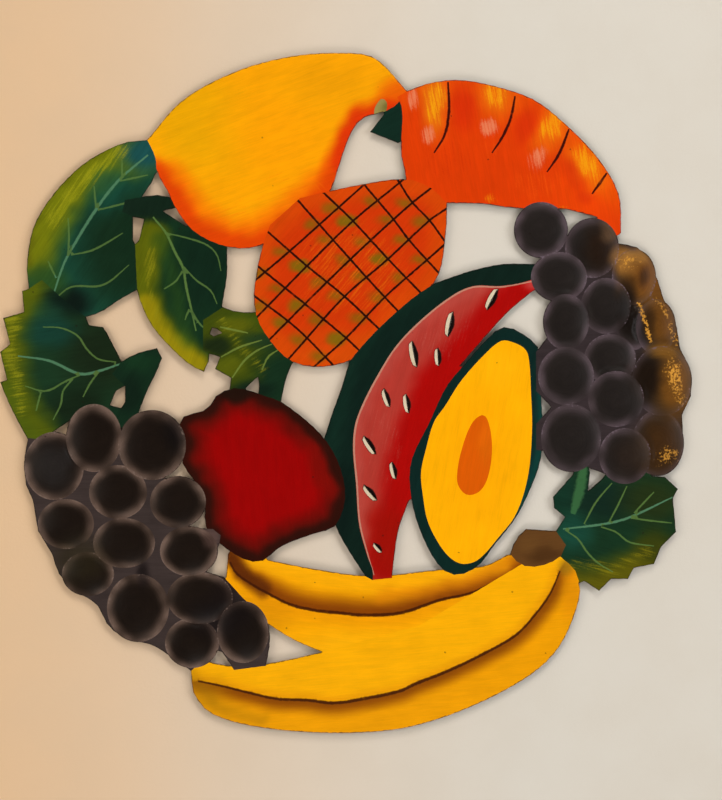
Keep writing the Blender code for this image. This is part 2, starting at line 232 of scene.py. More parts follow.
def readPoints(text):
    words = [word.rstrip("!").split(",") + [word.endswith("!")] for word in text.split()]
    return [(float(x), float(y), sharp) for x, y, sharp in words]


def place(x, y):
    return Vector(((x - drawing["origin"][0]) * square, (drawing["origin"][1] - y) * square))


def smoothCurve(points, closed):
    count = len(points)
    curve = [points[0]]
    for i in range(count if closed else count - 1):
        start, end = points[i], points[(i + 1) % count]
        before = points[i - 1] if closed or i > 0 else start
        after = points[(i + 2) % count] if closed or i + 2 < count else end
        reach = (end - start).length / 3
        leaving = start + (end - before).normalized() * reach
        arriving = end - (after - start).normalized() * reach
        steps = plateForm["curveSteps"]
        curve.extend(interpolate_bezier(start, leaving, arriving, end, steps)[1:])
    return curve


def evenCuts(curve, step):
    # the curve in straight pieces of one length, without its last point
    lengths = [(b - a).length for a, b in zip(curve, curve[1:])]
    count = max(1, round(sum(lengths) / step))
    piece = sum(lengths) / count
    points = []
    walked = 0.0
    for a, b, length in zip(curve, curve[1:], lengths):
        while len(points) < count and len(points) * piece < walked + length:
            points.append(a.lerp(b, (len(points) * piece - walked) / length))
        walked += length
    return points


def drawnLoop(text, step):
    drawn = readPoints(text)
    corners = [i for i, point in enumerate(drawn) if point[2]]
    places = [place(x, y) for x, y, _ in drawn]
    if not corners:
        return evenCuts(smoothCurve(places, True), step)
    loop = []
    for first, last in zip(corners, corners[1:] + [corners[0] + len(places)]):
        run = [places[i % len(places)] for i in range(first, last + 1)]
        loop.extend(evenCuts(smoothCurve(run, False), step))
    return loop


def anticlockwise(loop):
    turning = sum(a.cross(b) for a, b in zip(loop, loop[1:] + loop[:1]))
    return loop if turning > 0 else loop[::-1]


def chiselledLoop(text):
    # straight cuts as on the solid, each a little hollow and nicked
    loop = anticlockwise(drawnLoop(text, plateForm["chiselCut"]))
    fine = []
    for a, b in zip(loop, loop[1:] + loop[:1]):
        parts = max(1, round((b - a).length / plateForm["rimStep"]))
        inward = Vector((a.y - b.y, b.x - a.x)).normalized()
        fine.append(a)
        for i in range(1, parts):
            stray = random.uniform(0.2, 1.0) * plateForm["nick"]
            fine.append(a.lerp(b, i / parts) + inward * stray)
    return fine


def grapeLoop(grape):
    x, y, halfWidth, halfHeight = grape
    around = math.tau * math.hypot(halfWidth, halfHeight) / math.sqrt(2) * square
    count = round(around / plateForm["rimStep"])
    turns = [math.tau * i / count for i in range(count)]
    return [place(x + halfWidth * math.cos(t), y - halfHeight * math.sin(t)) for t in turns]


def seedLoop(start, end):
    # a slot with two lips that slope back towards its middle line, with each lip's shift
    top = place(*start)
    along = place(*end) - top
    width = math.sqrt(along.length / plateForm["seedLength"])
    right = Vector((-along.y, along.x)).normalized() * width
    paleLip, darkLip = [], []
    for i in range(1, plateForm["seedSteps"]):
        share = i / plateForm["seedSteps"]
        bulge = math.sin(math.pi * share)
        middle = top + along * share
        lip = right * bulge * plateForm["seedLip"]
        gap = right * bulge ** plateForm["seedBlunt"] * plateForm["seedGap"]
        paleLip.append((middle - gap, gap * plateForm["seedSlope"]))
        darkLip.append((middle + lip, -lip))
    around = paleLip + [(top + along, None)] + darkLip[::-1]
    return [top] + [spot for spot, _ in around], paleLip, darkLip


def ribbonHalves(text, halfWidth, beyond):
    # both sides of a painted line, each as a closed loop along the line's middle
    middle = smoothCurve([place(x, y) for x, y, _ in readPoints(text)], False)
    middle = evenCuts(middle, plateForm["lineStep"]) + [middle[-1]]
    if beyond:
        ends = [end + (end - last).normalized() * beyond * square
                for end, last in ((middle[0], middle[1]), (middle[-1], middle[-2]))]
        middle = [ends[0]] + middle + [ends[1]]
    sides = ([], [])
    for i, spot in enumerate(middle):
        ahead = middle[min(i + 1, len(middle) - 1)] - middle[max(i - 1, 0)]
        left = Vector((-ahead.y, ahead.x)).normalized() * halfWidth * square
        sides[0].append(spot + left)
        sides[1].append(spot - left)
    return middle, [anticlockwise(middle + side[::-1]) for side in sides]


def insideAny(spots, loops):
    found = np.zeros(len(spots), bool)
    for loop in loops:
        ring = np.array([tuple(point) for point in loop])
        near = np.all((spots >= ring.min(0)) & (spots <= ring.max(0)), axis=1)
        x, y = spots[near].T
        odd = np.zeros(len(x), bool)
        for a, b in zip(ring, np.roll(ring, -1, 0)):
            crosses = (a[1] > y) != (b[1] > y)
            reach = a[0] + (y - a[1]) / (b[1] - a[1] + 1e-12) * (b[0] - a[0])
            odd ^= crosses & (x < reach)
        found[np.flatnonzero(near)[odd]] = True
    return found


print("scene: drawing the plan")
areas = []      # every closed shape, from the lowest to the one on top
points = []
faces = []


def addArea(kind, name, loop, line=None, host=None):
    areas.append({"kind": kind, "name": name, "line": line, "host": host})
    faces.append(list(range(len(points), len(points) + len(loop))))
    points.extend(loop)


solidLoops = []
for name, text in outlines.items():
    loop = chiselledLoop(text)
    solidLoops.append(loop)
    hosts = {name: len(areas)}
    addArea("sheet", name, loop)
    for inner, (host, innerText) in paintedAreas.items():
        if host in hosts:
            hosts[inner] = len(areas)
            loop = anticlockwise(drawnLoop(innerText, plateForm["rimStep"]))
            addArea("paint", inner, loop, host=hosts[host])
for i, grape in enumerate(grapes):
    loop = anticlockwise(grapeLoop(grape))
    solidLoops.append(loop)
    addArea("grape", i, loop)
addArea("hole", "opening", anticlockwise(drawnLoop(leafOpening, plateForm["chiselCut"])))
lips = []
for start, end in seeds:
    loop, paleLip, darkLip = seedLoop(start, end)
    for side, look in ((darkLip, "seedLip"), (paleLip, "seedPale")):
        lips.extend((at, lip, lookNumber[look]) for at, lip in side)
    addArea("hole", "seed", anticlockwise(loop))
for name, width, colour, strength, lines in paintedLines:
    halfWidth = width / 2 * ribbon["cover"] + ribbon["margin"]
    for text in lines:
        middle, halves = ribbonHalves(text, halfWidth, ribbon["beyond"].get(name, 0))
        line = {"area": name, "middle": middle, "half": width / 2, "colour": colour,
                "strength": strength, "crosses": lines is latticeRising}
        for half in halves:
            addArea("line", name, half, line)

step = plateForm["meshStep"]
stray = plateForm["meshStray"]
startX, startY = plateForm["meshStart"]
rows = np.arange(startY, plateForm["meshEnd"], step * math.sqrt(3) / 2)
columns = np.arange(startX, plateForm["meshEnd"], step)
gridX, gridY = np.meshgrid(columns, rows)
gridX = gridX + (np.arange(len(rows)) % 2)[:, None] * step / 2
spots = np.stack([gridX.ravel(), gridY.ravel()], axis=1)
spots += rng.uniform(-stray, stray, spots.shape) * step
spots = spots[insideAny(spots, solidLoops)]
points.extend(Vector(at) for at in spots.tolist())
print("scene: joining", len(points), "points and", len(faces), "shapes")
plan, _, triangles, _, _, owners = delaunay_2d_cdt(points, [], faces, 0, plateForm["weld"])

kinds = [area["kind"] for area in areas]
keptTriangles, topAreas, coveringLines = [], [], []
for triangle, owner in zip(triangles, owners):
    if any(kinds[i] == "hole" for i in owner):
        continue
    if not any(kinds[i] in ("sheet", "grape") for i in owner):
        continue
    keptTriangles.append(triangle)
    topAreas.append(max(i for i in owner if kinds[i] in ("sheet", "grape")
                        or (kinds[i] == "paint" and areas[i]["host"] in owner)))
    coveringLines.append([i for i in owner if kinds[i] == "line"])
used = sorted({i for triangle in keptTriangles for i in triangle})
number = {old: new for new, old in enumerate(used)}
flat = np.array([tuple(plan[i]) for i in used])
corners = np.array([[number[i] for i in triangle] for triangle in keptTriangles])
topAreas = np.array(topAreas)
squares = np.stack([flat[:, 0] / square + drawing["origin"][0],
                    drawing["origin"][1] - flat[:, 1] / square], axis=1)
print("scene: sheet of", len(corners), "triangles a side")


def softStep(low, high, values):
    share = np.clip((values - low) / (high - low), 0, 1)
    return share * share * (3 - 2 * share)


# Share of the way from each grape's centre out to its rim, for each point.
shares = np.array([np.hypot((squares[:, 0] - x) / halfWidth, (squares[:, 1] - y) / halfHeight)
                   for x, y, halfWidth, halfHeight in grapes])
# Height of each point: domes that sink beside the grape above them, and slow dents.
height = np.zeros(len(flat))
covered = np.zeros(len(flat), bool)
beside = np.ones(len(flat))
for i in range(len(grapes) - 1, -1, -1):
    radius = (grapes[i][2] + grapes[i][3]) / 2 * square
    inside = (shares[i] < 1) & ~covered
    dome = plateForm["grapeRise"] * (1 - shares[i] ** 2)
    height[inside] = (dome * beside)[inside]
    covered |= shares[i] < 1.0001       # with the points on its outline
    beside *= softStep(0, plateForm["grapeSoft"], (shares[i] - 1) * radius)
dents = np.array([noise.noise(Vector((x, y, plateForm["dentLayer"])) / plateForm["dentSize"])
                  for x, y in flat])
height += (dents * 0.5 + 0.5) * plateForm["dent"] * (1 - height / plateForm["grapeRise"])
# The right lip of each seed's slot stands a little proud.
proudLip = {"rise": 0.00035, "aside": 2, "reach": 0.62, "fade": (0.7, 1.15)}
for start, end in seeds:
    middle = np.array([(start[0] + end[0]) / 2 + proudLip["aside"], (start[1] + end[1]) / 2])
    reach = math.dist(start, end) * proudLip["reach"]
    away = np.linalg.norm(squares - middle, axis=1) / reach
    rightOf = squares[:, 0] > middle[0]
    height += proudLip["rise"] * (1 - softStep(*proudLip["fade"], away)) * rightOf
height = np.minimum(height, plateForm["grapeRise"])

# The rims are the edges with the sheet on one side only.
edgeSides = {}
for a, b, c in corners.tolist():
    for start, end in ((a, b), (b, c), (c, a)):
        if edgeSides.pop((end, start), None) is None:
            edgeSides[(start, end)] = True
rimEdges = list(edgeSides)
sample = plateForm["rimSample"]
rimPoints = [flat[a] + (flat[b] - flat[a]) * share for a, b in rimEdges
             for share in np.arange(0, 1, sample / max(sample, math.dist(flat[a], flat[b])))]
rimTree = kdtree.KDTree(len(rimPoints))
for i, (x, y) in enumerate(rimPoints):
    rimTree.insert((x, y, 0), i)
rimTree.balance()
rimDistance = np.array([rimTree.find((x, y, 0))[2] for x, y in flat])

print("scene: painting")
# Patches of paint, and on the right grapes a painted reflection. Dry ones are dragged on with
# little paint and break up into streaks.


def spot(x, y, halfWidth, halfHeight, colour, strength, turn=0, core=0.3, dry=False):
    return {"at": (x, y), "size": (halfWidth, halfHeight), "turn": math.radians(turn),
            "colour": colour, "strength": strength, "core": core, "dry": dry}


def streak(x, y, halfWidth, halfHeight, colour, strength, turn=0):
    return spot(x, y, halfWidth, halfHeight, colour, strength, turn, core=0.1, dry=True)


def coat(look, base, grain, patches, **more):
    # one area's paint; the grain is the direction of the brush in degrees
    return {"look": look, "base": base, "grain": grain, "patches": patches, **more}


def band(text, reach, colour, strength, core=0.0, side=0, dry=False, closed=False):
    drawn = [(x, y) for x, y, _ in readPoints(text)]
    if side:
        # as smooth as the painted line that it ends on
        curve = smoothCurve([Vector(at) for at in drawn], False)
        cuts = evenCuts(curve, plateForm["lineStep"] / square)
        drawn = [tuple(at) for at in cuts] + [drawn[-1]]
    return {"line": drawn + drawn[:1] if closed else drawn, "reach": reach, "colour": colour,
            "strength": strength, "core": core, "side": side, "dry": dry}


def crossings(falling, rising):
    # where the lattice's lines cross
    pieces = []
    for lines in (falling, rising):
        chains = [[Vector((x, y)) for x, y, _ in readPoints(text)] for text in lines]
        pieces.append([piece for chain in chains for piece in zip(chain, chain[1:])])
    meetings = [intersect_line_line_2d(*a, *b) for a in pieces[0] for b in pieces[1]]
    return [at for at in meetings if at]


olivePatches = [spot(at.x - 8, at.y, 11, 7, (128, 96, 8), 0.8, core=0.1)
                for at in crossings(latticeFalling, latticeRising)]
# warm gold of the painted glints on the right grapes, a painted reflection of the lamp
paintedGlintGold = (216, 152, 58)
deepGreen = (14, 40, 22)
yellowOlive = (116, 120, 4)
streakYellow = (242, 158, 10)
streakPink = (228, 124, 84)

paints = {
    "leafUpper": coat("leaf", (20, 66, 50), 55, [
        spot(124, 248, 50, 70, deepGreen, 0.95, core=0.4),
        band("140,146 112,152 76,174 40,219 29,250", 40, yellowOlive, 0.95, core=10),
        band("150,136 110,142 74,164 36,210 26,262", 9, (84, 84, 6), 0.5, core=2),
        spot(146, 152, 32, 24, (14, 72, 84), 0.9, core=0.3),
        spot(108, 190, 24, 32, (20, 76, 62), 0.6, turn=-30),
        spot(70, 303, 26, 18, (5, 20, 14), 0.95),
        spot(46, 282, 26, 22, (44, 76, 26), 0.8),
        band("120,150 84,178 52,220", 22, (150, 150, 20), 0.6, dry=True)]),
    "leafHanging": coat("leaf", (16, 46, 26), 70, [
        spot(205, 265, 34, 60, (10, 34, 22), 0.7),
        band("150,236 142,262 141,290 148,314 160,335 184,358", 26, (92, 98, 4), 0.95, core=8),
        band("146,306 158,330 180,352 202,370", 17, (150, 134, 6), 0.9, core=5),
        band("160,240 172,270 178,300 186,340", 15, (44, 76, 24), 0.5),
        spot(150, 205, 44, 16, (14, 34, 22), 0.95, core=0.6),
        band("152,250 148,280 158,318", 12, (140, 136, 20), 0.5, dry=True)]),
    "leafToothed": coat("leaf", (22, 52, 30), 10, [
        spot(104, 352, 50, 50, (20, 34, 16), 0.9, core=0.3),
        spot(76, 408, 36, 26, (15, 30, 14), 0.85),
        band("22,291 3,318 0,352 0,382 14,414 40,452", 40, (86, 94, 4), 0.95, core=12),
        band("6,390 18,422 38,446", 24, (74, 90, 10), 0.8),
        spot(50, 332, 32, 20, (16, 62, 54), 0.7),
        spot(72, 302, 34, 16, (6, 24, 17), 0.9),
        spot(46, 312, 20, 14, (26, 70, 52), 0.5),
        band("14,300 10,350 22,410", 20, (140, 140, 20), 0.55, dry=True)]),
    "leafStalk": coat("leaf", (14, 40, 24), 60, [
        spot(140, 362, 22, 14, (20, 56, 30), 0.6), spot(130, 395, 16, 22, (8, 26, 16), 0.7)]),
    "leafSmall": coat("leaf", (60, 72, 8), 30, [
        spot(284, 382, 34, 50, (14, 42, 26), 0.95, core=0.4),
        spot(262, 318, 34, 14, (56, 74, 10), 0.7),
        spot(236, 326, 22, 10, (96, 98, 8), 0.75),
        spot(216, 346, 18, 12, (20, 34, 15), 0.85, core=0.5),
        spot(262, 340, 24, 10, (16, 46, 36), 0.6),
        spot(228, 366, 20, 11, (92, 98, 10), 0.8),
        spot(252, 392, 26, 14, (10, 30, 20), 0.9),
        band("222,322 244,350 262,368", 14, (140, 138, 24), 0.45, dry=True)]),
    "leafRight": coat("leaf", (18, 48, 28), 165, [
        spot(604, 500, 42, 24, (14, 38, 28), 0.9),
        spot(652, 500, 40, 28, (36, 48, 16), 0.85),
        spot(572, 532, 24, 26, (22, 72, 58), 0.8),
        band("566,590 599,591 628,579 654,564", 36, (92, 86, 4), 0.95, core=8),
        spot(655, 545, 26, 22, (52, 58, 8), 0.8),
        spot(560, 492, 18, 30, (14, 50, 38), 0.7),
        band("574,566 610,570 648,552", 18, (130, 122, 16), 0.5, dry=True)]),
    "leafTip": coat("leaf", (12, 40, 30), 30, []),
    "mango": coat("fruit", (250, 164, 0), 20, [
        spot(196, 120, 74, 58, (232, 166, 0), 0.85, turn=-30),
        spot(322, 84, 84, 30, (238, 158, 0), 0.8),
        spot(284, 146, 84, 46, (252, 160, 0), 0.6, turn=-25),
        band("163,190 189,228 228,248 262,246 300,220 328,196", 40,
             (242, 104, 0), 0.85, core=14),
        band("156,176 168,196 189,228 228,248 262,247 302,221 330,196 341,163 352,133 "
             "364,118 384,111 402,100", 22, (220, 62, 0), 0.9, core=6),
        band("341,163 352,133 364,118 384,111 402,100", 14, (218, 48, 2), 0.85, core=4),
        spot(396, 90, 20, 15, (232, 98, 0), 0.9),
        spot(250, 205, 60, 20, (244, 120, 4), 0.35, turn=15, dry=True),
        spot(290, 190, 50, 26, (236, 88, 2), 0.34, turn=-35, dry=True),
        spot(230, 84, 60, 24, (214, 150, 4), 0.36, turn=-20, dry=True)]),
    "mangoStub": coat("fruit", (150, 136, 78), 80, [
        spot(386, 108, 6, 6, (104, 96, 40), 0.7)]),
    "papaya": coat("fruit", (220, 60, 0), 100, [
        band("407,91 430,83 460,80 502,88 538,102 576,134 601,162 619,195", 26,
             (228, 78, 0), 0.7, core=6),
        spot(584, 196, 40, 30, (234, 68, 0), 0.7),
        spot(586, 198, 10, 7, (196, 34, 6), 0.3),
        spot(470, 180, 66, 26, (214, 58, 0), 0.7),
        spot(434, 106, 16, 38, (226, 122, 12), 0.75, turn=4),
        spot(497, 98, 22, 28, (230, 112, 6), 0.7),
        spot(552, 128, 17, 34, (234, 116, 6), 0.7, turn=-27),
        spot(588, 168, 20, 38, (236, 112, 4), 0.75, turn=38),
        spot(464, 106, 15, 30, (206, 38, 2), 0.6),
        spot(526, 124, 11, 26, (206, 42, 2), 0.6, turn=-20),
        spot(574, 176, 8, 26, (210, 44, 2), 0.5, turn=30),
        spot(450, 160, 46, 34, (202, 44, 0), 0.4, dry=True),
        spot(540, 184, 44, 24, (236, 84, 6), 0.42, dry=True),
        spot(486, 150, 30, 20, (234, 82, 8), 0.36, dry=True),
        streak(434, 102, 18, 38, streakYellow, 0.62, turn=4),
        streak(496, 94, 24, 26, streakYellow, 0.58),
        streak(552, 124, 18, 34, streakYellow, 0.62, turn=-27),
        streak(588, 164, 20, 38, streakYellow, 0.62, turn=38),
        streak(413, 100, 8, 18, streakPink, 0.7),
        streak(428, 134, 12, 14, streakPink, 0.7),
        streak(488, 128, 14, 14, streakPink, 0.75),
        streak(538, 158, 12, 20, streakPink, 0.65, turn=-30),
        streak(492, 199, 15, 8, streakYellow, 0.5),
        streak(563, 208, 11, 6, streakYellow, 0.46)]),
    "pineapple": coat("fruit", (206, 54, 2), 50, [
        band(outlines["pineapple"], 24, (216, 84, 2), 0.5, core=4, closed=True),
        spot(330, 345, 60, 24, (212, 84, 4), 0.4),
        spot(350, 270, 90, 80, (226, 104, 8), 0.42, dry=True)] + olivePatches),
    "bananasUpper": coat("fruit", (248, 168, 0), 175, [
        spot(262, 612, 44, 22, (216, 138, 2), 0.6),
        band(bananaCrease, 20, (236, 150, 0), 0.6, core=2, side=-1),
        band(bananaCrease, 26, (120, 52, 2), 0.9, core=2, side=1),
        band("250,562 320,578 372,584 436,578 500,566", 13, (252, 176, 6), 0.6, core=2),
        band("230,556 242,574 264,590", 13, (84, 36, 4), 0.8, core=3),
        band("380,596 430,590 480,578 506,564", 13, (226, 132, 4), 0.5),
        spot(360, 650, 90, 22, (252, 182, 8), 0.6),
        band("300,634 380,640 460,620", 20, (255, 200, 50), 0.25, dry=True)]),
    "bananaLower": coat("fruit", (248, 174, 2), 5, [
        band(bananaGap, 12, (226, 146, 2), 0.6, core=1, side=1),
        band(bananaGap, 60, (236, 156, 0), 0.9, core=44, side=-1),
        band(bananaGap, 18, (122, 58, 2), 0.85, core=2, side=-1),
        spot(205, 694, 30, 26, (178, 124, 4), 0.4),
        band("191,676 216,706 262,720", 12, (150, 104, 6), 0.35),
        spot(572, 590, 14, 34, (226, 142, 2), 0.7),
        spot(567, 566, 10, 10, (150, 116, 20), 0.6),
        band("300,715 400,712 500,672", 16, (255, 190, 40), 0.25, dry=True)]),
    "bananaStem": coat("fruit", (96, 62, 28), 10, [
        spot(545, 556, 22, 10, (70, 42, 16), 0.7), spot(530, 545, 12, 10, (110, 74, 34), 0.5)]),
    "melon": coat("leaf", (9, 31, 24), 60, [
        band("430,286 385,316 352,362 338,420 328,470", 15, (14, 44, 33), 0.6),
        spot(340, 500, 16, 40, (4, 19, 16), 0.6),
        band("400,300 372,330 352,362", 10, (120, 140, 100), 0.3, dry=True)]),
    "melonFlesh": coat("fruit", (176, 56, 46), 75, [
        band("528,281 501,286 474,286 453,295 422,319 396,346 377,376 363,403 355,425 "
             "353,449 356,484 359,524 367,555 373,573", 14, (184, 80, 70), 0.55, core=2),
        spot(440, 330, 60, 40, (192, 92, 82), 0.36, turn=35, dry=True),
        spot(384, 440, 30, 70, (190, 88, 76), 0.34, dry=True),
        band("540,286 532,291 508,312 479,344 458,366 441,389 428,419 415,449 409,476 "
             "408,501 399,528 394,560", 36, (168, 2, 0), 0.95, core=15),
        spot(536, 282, 14, 10, (204, 92, 88), 0.6),
        spot(388, 545, 26, 50, (150, 14, 2), 0.75)]),
    "avocado": coat("leaf", (8, 38, 34), 80, [
        band("541,395 543,430 541,458 517,516 493,547", 9, (14, 72, 66), 0.55, core=2),
        band("504,327 463,366 430,421 411,480 421,533", 9, (8, 34, 30), 0.5, core=2)]),
    "avocadoFlesh": coat("fruit", (255, 176, 0), 80, [
        spot(478, 455, 40, 80, (255, 170, 0), 0.6), spot(500, 370, 26, 22, (255, 182, 6), 0.5)]),
    "avocadoPit": coat("fruit", (216, 90, 0), 80, [
        spot(486, 440, 10, 30, (224, 108, 4), 0.5)]),
    "apple": coat("fruit", (150, 0, 0), 95, [
        band(outlines["apple"], 32, (72, 12, 4), 0.9, core=4, closed=True),
        spot(322, 466, 16, 44, (132, 8, 2), 0.7, turn=20),
        band(outlines["apple"], 12, (38, 12, 5), 0.85, core=3, closed=True),
        spot(236, 392, 18, 13, (30, 14, 6), 0.95, core=0.6)]),
    "bunchLeft": coat("grape", (25, 17, 12), 0, [
        spot(54, 466, 24, 28, (46, 46, 48), 0.5), spot(80, 560, 32, 30, (40, 34, 18), 0.6),
        spot(222, 616, 38, 28, (18, 12, 12), 0.75), spot(176, 434, 16, 22, (14, 10, 10), 0.7),
        spot(144, 574, 8, 16, (20, 14, 14), 0.8), spot(226, 590, 20, 14, (24, 16, 14), 0.6),
        spot(212, 536, 12, 12, (104, 78, 72), 0.6)],
        rim=(108, 88, 78), gap=(58, 48, 46), bloom=(122, 104, 96)),
    # The warm gold and gold-brown patches, bands and specks on the right of this bunch are a
    # painted reflection of the warm lamp in the varnish; the dark centres are the grapes' own
    # paint.
    "bunchRight": coat("grape", (34, 29, 27), 0, [
        spot(604, 248, 24, 30, (36, 21, 10), 0.8), spot(610, 230, 12, 16, (100, 74, 50), 0.8),
        spot(646, 278, 30, 34, (124, 76, 24), 0.95), spot(622, 262, 14, 18, (156, 106, 46), 0.9),
        spot(636, 256, 18, 9, (158, 110, 50), 0.8), spot(642, 277, 7, 12, (60, 34, 12), 0.8),
        spot(628, 310, 12, 34, (20, 13, 9), 0.9),
        spot(664, 320, 20, 38, (104, 64, 18), 0.95), spot(649, 322, 7, 18, (50, 30, 10), 0.7),
        spot(674, 384, 26, 42, (112, 70, 20), 0.95), spot(646, 378, 19, 28, (26, 16, 8), 0.95),
        spot(664, 352, 20, 8, (132, 88, 26), 0.8),
        spot(662, 446, 30, 38, (62, 38, 14), 0.95), spot(632, 456, 24, 26, (42, 30, 22), 0.6),
        streak(674, 376, 14, 34, paintedGlintGold, 0.52, turn=8),
        streak(680, 398, 12, 16, paintedGlintGold, 0.45),
        streak(668, 455, 16, 18, paintedGlintGold, 0.42),
        streak(626, 262, 20, 14, paintedGlintGold, 0.42),
        band("640,302 645,320 651,343", 6, paintedGlintGold, 0.55, dry=True),
        band("658,300 670,322 676,344", 8, paintedGlintGold, 0.4, dry=True)],
        rim=(88, 74, 80), gap=(52, 43, 45), bloom=(112, 98, 108)),
}


def lineReach(spots, line):
    # distance to a line of points, which side of it, and the share along it
    best = np.full(len(spots), 1e9)
    side = np.zeros(len(spots))
    share = np.zeros(len(spots))
    total = sum(math.dist(a, b) for a, b in zip(line, line[1:]))
    walked = 0.0
    for a, b in zip(line, line[1:]):
        start = np.array(a)
        along = np.array(b) - start
        length = max(1e-9, np.hypot(*along))
        offset = spots - start
        part = np.clip(offset @ along / length ** 2, 0, 1)
        away = np.linalg.norm(offset - part[:, None] * along, axis=1)
        nearer = away < best
        best[nearer] = away[nearer]
        turned = along[1] * offset[:, 0] - along[0] * offset[:, 1]
        side[nearer] = np.sign(turned)[nearer]
        share[nearer] = ((walked + part * length) / total)[nearer]
        walked += length
    return best, side, share


# How the edges of the patches wander, in squares.
wander = {"size": 13, "reach": 3.4, "layers": (0.5, 9.5)}
wobble = np.array([[noise.noise(Vector((x / wander["size"], y / wander["size"], layer)))
                    for layer in wander["layers"]] for x, y in squares]) * wander["reach"]
# A one-sided band also covers this much of its line's other side, and a spot fades out at
# this many of its half sizes.
patchEdge = {"seam": 0.4, "spotFade": 1.25}


def patchMask(patch, spots):
    if "line" in patch:
        away, side, _ = lineReach(spots, patch["line"])
        mask = 1 - softStep(patch["core"], patch["reach"], away)
        if patch["side"]:
            mask = mask * ((side == patch["side"]) | (away < patchEdge["seam"]))
        return mask
    offset = spots - np.array(patch["at"])
    turn = patch["turn"]
    across = offset[:, 0] * math.cos(turn) - offset[:, 1] * math.sin(turn)
    down = offset[:, 0] * math.sin(turn) + offset[:, 1] * math.cos(turn)
    away = np.hypot(across / patch["size"][0], down / patch["size"][1])
    return 1 - softStep(patch["core"], patchEdge["spotFade"], away)


def toLinear(colour):
    shade = np.asarray(colour, float) / 255
    return np.where(shade > 0.04045, ((shade + 0.055) / 1.055) ** 2.4, shade / 12.92)


# The pale rim of a grape: where it starts, how much it strays, how full it is at its barest,
# in the middle and as it drifts, where its dry bloom starts and how strong that is, and how
# much of it a patch leaves from where on.
paleRim = {"start": 0.62, "stray": 0.02, "least": 0.2, "full": 0.78, "drift": 0.2,
           "bloomStart": 0.82, "bloom": 0.42, "keep": 0.25, "keepStart": 0.7}


def paintPoints(name, spots, drift, ripe=None):
    # colour of each spot, and the dry colour over it with its amount; on a grape, ripe is the
    # share of the way out to its rim
    recipe = paints[name]
    ground = recipe["gap"] if recipe["look"] == "grape" and ripe is None else recipe["base"]
    colour = np.tile(np.array(ground, float), (len(spots), 1))
    dry = np.tile(np.array(recipe["base"] + (0,), float), (len(spots), 1))
    if ripe is not None:
        patchy = np.clip(paleRim["full"] + drift[:, 1] * paleRim["drift"], paleRim["least"], 1)
        rim = softStep(paleRim["start"], 1.0, ripe + drift[:, 0] * paleRim["stray"]) * patchy
        colour += (np.array(recipe["rim"], float) - colour) * rim[:, None]
        dry[:, :3] = recipe["bloom"]
        dry[:, 3] = softStep(paleRim["bloomStart"], 1.0, ripe) * patchy * paleRim["bloom"]
    for patch in recipe["patches"]:
        still = patch.get("side")
        amount = patchMask(patch, spots if still else spots + drift) * patch["strength"]
        target = np.array(patch["colour"], float)
        if patch["dry"]:
            blend = (amount > dry[:, 3])[:, None]
            dry[:, :3] = np.where(blend, target, dry[:, :3])
            dry[:, 3] = np.maximum(dry[:, 3], amount)
        else:
            if ripe is not None:
                kept = paleRim["keep"] * softStep(paleRim["keepStart"], 1.0, ripe)
                amount = amount * (1 - kept)
            colour += (target - colour) * amount[:, None]
    return toLinear(colour), np.concatenate([toLinear(dry[:, :3]), dry[:, 3:]], axis=1)


count = len(corners)
offLine = 9.0
paintColour = np.ones((count, 3, 4))
dryColour = np.zeros((count, 3, 4))
lineColour = np.zeros((count, 3, 4))
lineValue = np.full((count, 3), offLine)    # distance to a painted line, in half widths
crossValue = np.full((count, 3), offLine)   # the same for lines that cross the others
brushMap = np.zeros((count, 3, 2))
lookOf = np.zeros(count, int)
for index in np.unique(topAreas):
    area = areas[index]
    chosen = np.flatnonzero(topAreas == index)
    verts, inverse = np.unique(corners[chosen], return_inverse=True)
    inverse = inverse.reshape(-1, 3)
    name = area["name"]
    ripe = None
    if area["kind"] == "grape":
        ripe = shares[name][verts]
        grape = grapes[name]
        offset = squares[verts] - np.array(grape[:2])
        angle = np.arctan2(offset[:, 1], offset[:, 0])[inverse]
        wraps = (angle.max(1) - angle.min(1) > math.pi)[:, None] & (angle < 0)
        angle = angle + wraps * math.tau
        brushMap[chosen, :, 0] = angle * grape[2] * square
        brushMap[chosen, :, 1] = (ripe * grape[2] * square)[inverse]
        name = "bunchLeft" if name < len(grapesLeft) else "bunchRight"
    else:
        turn = math.radians(paints[name]["grain"])
        x, y = flat[verts].T
        brush = np.stack([x * math.cos(turn) + y * math.sin(turn),
                          y * math.cos(turn) - x * math.sin(turn)], axis=1)
        brushMap[chosen] = brush[inverse]
    colour, dry = paintPoints(name, squares[verts], wobble[verts], ripe)
    paintColour[chosen, :, :3] = colour[inverse]
    dryColour[chosen] = dry[inverse]
    lookOf[chosen] = lookNumber[paints[name]["look"]]

underLines = {}
for i, covering in enumerate(coveringLines):
    for index in covering:
        line = areas[index]["line"]
        if line["area"] == areas[topAreas[i]]["name"]:
            underLines.setdefault(id(line), (line, []))[1].append(i)
for line, chosen in underLines.values():
    chosen = np.array(sorted(set(chosen)))
    spots = flat[corners[chosen]].reshape(-1, 2)
    away, _, along = lineReach(spots, [tuple(point) for point in line["middle"]])
    taper = 1
    if line["area"] not in ribbon["beyond"]:
        along = np.clip(along * swell["span"] + swell["start"], 0, 1)
        taper = swell["thin"] + swell["more"] * np.sin(math.pi * along)
    value = (away / square / (line["half"] * taper)).reshape(-1, 3)
    values = crossValue if line["crosses"] else lineValue
    values[chosen] = np.minimum(value, values[chosen])
    tint = np.concatenate([toLinear(line["colour"]), [line["strength"]]])
    lineColour[chosen] = tint

